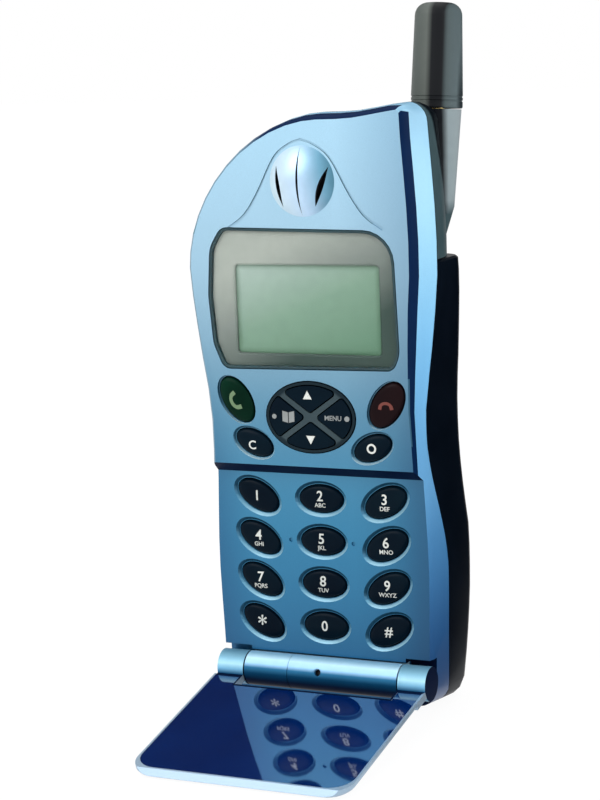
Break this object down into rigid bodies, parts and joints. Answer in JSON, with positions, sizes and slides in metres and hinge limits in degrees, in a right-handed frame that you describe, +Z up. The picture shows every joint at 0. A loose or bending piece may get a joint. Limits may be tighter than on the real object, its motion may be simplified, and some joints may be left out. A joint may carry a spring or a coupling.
{
  "type": "flip phone",
  "caption": "Handset with a keypad flip hinged at its bottom edge, a stub antenna and a clip-on battery, standing open on the flip's free edge.",
  "frame": {"origin": "centre of the bounding box at its lowest level, where the flip's free edge and the battery's bottom edge rest", "axes": "+Z up from the table, +X to the handset's right as its user sees it, +Y towards its back; the handset leans back by about 3.1 degrees"},
  "size_m": [0.0524, 0.0718, 0.1397],
  "materials": {
    "blue_paint": "light metallic blue paint on moulded plastic",
    "navy_gloss": "polished dark blue, mirror like",
    "clear_window": "clear acrylic",
    "grey_print": "printed grey border",
    "lcd": "grey green liquid crystal glass",
    "milky": "milky light guide",
    "steel": "stamped sheet steel",
    "dome_paint": "pale metallic blue",
    "black_plastic": "black",
    "nav_grey": "dark grey metallic",
    "key_black": "black with a satin skin",
    "key_green": "dark green translucent",
    "key_red": "dark red translucent",
    "silicone": "grey silicone rubber",
    "board": "green circuit board",
    "gold": "gold plated",
    "grey_plastic": "grey painted plastic",
    "antenna_rubber": "dark grey elastomer",
    "copper": "copper wire",
    "white_plastic": "white plastic",
    "battery_black": "near black with a satin gloss",
    "cell_can": "aluminium can",
    "rubber_black": "black rubber",
    "chip_black": "moulded connector plastic"
  },
  "bodies": {
    "handset": {"front_shell": "blue_paint", "window_lens": "clear_window", "window_mask": "grey_print", "lcd_glass": "lcd", "light_guide": "milky", "lcd_frame": "steel", "earpiece_grille": "dome_paint", "earpiece_speaker": "black_plastic", "nav_bezel": "nav_grey", "keypad_mat": "silicone", "dome_sheet": "gold", "main_board": "board", "shield_cans": "steel", "sim_holder": "black_plastic", "buzzer": "black_plastic", "vibrator_motor": "steel", "system_connector": "chip_black", "battery_contacts": "gold", "case_screws": "steel", "rear_shell": "grey_plastic", "antenna_sheath": "antenna_rubber", "antenna_coil": "copper", "antenna_core": "white_plastic", "antenna_ferrule": "gold", "hinge_barrel": "blue_paint", "hinge_cap": "blue_paint", "hinge_spring": "steel", "hinge_pins": "steel", "microphone": "steel", "microphone_boot": "rubber_black"},
    "flip": {"flip_shell": "blue_paint", "flip_panel": "navy_gloss"},
    "battery": {"battery_case": "battery_black", "battery_cover": "battery_black", "battery_terminals": "gold", "battery_cell": "cell_can", "latch_spring": "steel"},
    "latch": {"battery_latch": "battery_black"},
    "card": {"sim_card": "white_plastic"},
    "weight": {"vibrator_weight": "steel"},
    "key_1": {"key_1": "key_black"},
    "key_2": {"key_2": "key_black"},
    "key_3": {"key_3": "key_black"},
    "key_4": {"key_4": "key_black"},
    "key_5": {"key_5": "key_black"},
    "key_6": {"key_6": "key_black"},
    "key_7": {"key_7": "key_black"},
    "key_8": {"key_8": "key_black"},
    "key_9": {"key_9": "key_black"},
    "key_star": {"key_star": "key_black"},
    "key_0": {"key_0": "key_black"},
    "key_hash": {"key_hash": "key_black"},
    "key_send": {"key_send": "key_green"},
    "key_end": {"key_end": "key_red"},
    "key_clear": {"key_clear": "key_black"},
    "key_power": {"key_power": "key_black"},
    "nav_right": {"nav_right": "key_black"},
    "nav_up": {"nav_up": "key_black"},
    "nav_left": {"nav_left": "key_black"},
    "nav_down": {"nav_down": "key_black"}
  },
  "joints": [
    {"name": "flip_hinge", "type": "hinge", "parent": "handset", "child": "flip", "pos_m": [0, 0.00544, 0.00843], "axis": [-1, 0, 0], "range_deg": [0, 102.5]},
    {"name": "battery_release", "type": "slide", "parent": "handset", "child": "battery", "axis": [0, 0.9985, -0.054], "range_m": [0, 0.03]},
    {"name": "latch_slide", "type": "slide", "parent": "battery", "child": "latch", "axis": [0, -0.054, -0.9985], "range_m": [0, 0.0018], "stiffness_N_per_m": 400, "deforming": ["latch_spring"]},
    {"name": "card_slide", "type": "slide", "parent": "handset", "child": "card", "axis": [0, 0.054, 0.9985], "range_m": [0, 0.0155]},
    {"name": "weight_spin", "type": "hinge", "parent": "handset", "child": "weight", "pos_m": [0, 0.02081, 0.11105], "axis": [1, 0, 0], "continuous": true},
    {"name": "key_1_press", "type": "slide", "parent": "handset", "child": "key_1", "axis": [0, 0.9985, -0.054], "range_m": [0, 0.0005], "stiffness_N_per_m": 500},
    {"name": "key_2_press", "type": "slide", "parent": "handset", "child": "key_2", "axis": [0, 0.9985, -0.054], "range_m": [0, 0.0005], "stiffness_N_per_m": 500},
    {"name": "key_3_press", "type": "slide", "parent": "handset", "child": "key_3", "axis": [0, 0.9985, -0.054], "range_m": [0, 0.0005], "stiffness_N_per_m": 500},
    {"name": "key_4_press", "type": "slide", "parent": "handset", "child": "key_4", "axis": [0, 0.9985, -0.054], "range_m": [0, 0.0005], "stiffness_N_per_m": 500},
    {"name": "key_5_press", "type": "slide", "parent": "handset", "child": "key_5", "axis": [0, 0.9985, -0.054], "range_m": [0, 0.0005], "stiffness_N_per_m": 500},
    {"name": "key_6_press", "type": "slide", "parent": "handset", "child": "key_6", "axis": [0, 0.9985, -0.054], "range_m": [0, 0.0005], "stiffness_N_per_m": 500},
    {"name": "key_7_press", "type": "slide", "parent": "handset", "child": "key_7", "axis": [0, 0.9985, -0.054], "range_m": [0, 0.0005], "stiffness_N_per_m": 500},
    {"name": "key_8_press", "type": "slide", "parent": "handset", "child": "key_8", "axis": [0, 0.9985, -0.054], "range_m": [0, 0.0005], "stiffness_N_per_m": 500},
    {"name": "key_9_press", "type": "slide", "parent": "handset", "child": "key_9", "axis": [0, 0.9985, -0.054], "range_m": [0, 0.0005], "stiffness_N_per_m": 500},
    {"name": "key_star_press", "type": "slide", "parent": "handset", "child": "key_star", "axis": [0, 0.9985, -0.054], "range_m": [0, 0.0005], "stiffness_N_per_m": 500},
    {"name": "key_0_press", "type": "slide", "parent": "handset", "child": "key_0", "axis": [0, 0.9985, -0.054], "range_m": [0, 0.0005], "stiffness_N_per_m": 500},
    {"name": "key_hash_press", "type": "slide", "parent": "handset", "child": "key_hash", "axis": [0, 0.9985, -0.054], "range_m": [0, 0.0005], "stiffness_N_per_m": 500},
    {"name": "key_send_press", "type": "slide", "parent": "handset", "child": "key_send", "axis": [0, 0.9985, -0.054], "range_m": [0, 0.0005], "stiffness_N_per_m": 500},
    {"name": "key_end_press", "type": "slide", "parent": "handset", "child": "key_end", "axis": [0, 0.9985, -0.054], "range_m": [0, 0.0005], "stiffness_N_per_m": 500},
    {"name": "key_clear_press", "type": "slide", "parent": "handset", "child": "key_clear", "axis": [0, 0.9985, -0.054], "range_m": [0, 0.0005], "stiffness_N_per_m": 500},
    {"name": "key_power_press", "type": "slide", "parent": "handset", "child": "key_power", "axis": [0, 0.9985, -0.054], "range_m": [0, 0.0005], "stiffness_N_per_m": 500},
    {"name": "nav_right_press", "type": "slide", "parent": "handset", "child": "nav_right", "axis": [0, 0.9985, -0.054], "range_m": [0, 0.0005], "stiffness_N_per_m": 500},
    {"name": "nav_up_press", "type": "slide", "parent": "handset", "child": "nav_up", "axis": [0, 0.9985, -0.054], "range_m": [0, 0.0005], "stiffness_N_per_m": 500},
    {"name": "nav_left_press", "type": "slide", "parent": "handset", "child": "nav_left", "axis": [0, 0.9985, -0.054], "range_m": [0, 0.0005], "stiffness_N_per_m": 500},
    {"name": "nav_down_press", "type": "slide", "parent": "handset", "child": "nav_down", "axis": [0, 0.9985, -0.054], "range_m": [0, 0.0005], "stiffness_N_per_m": 500}
  ]
}
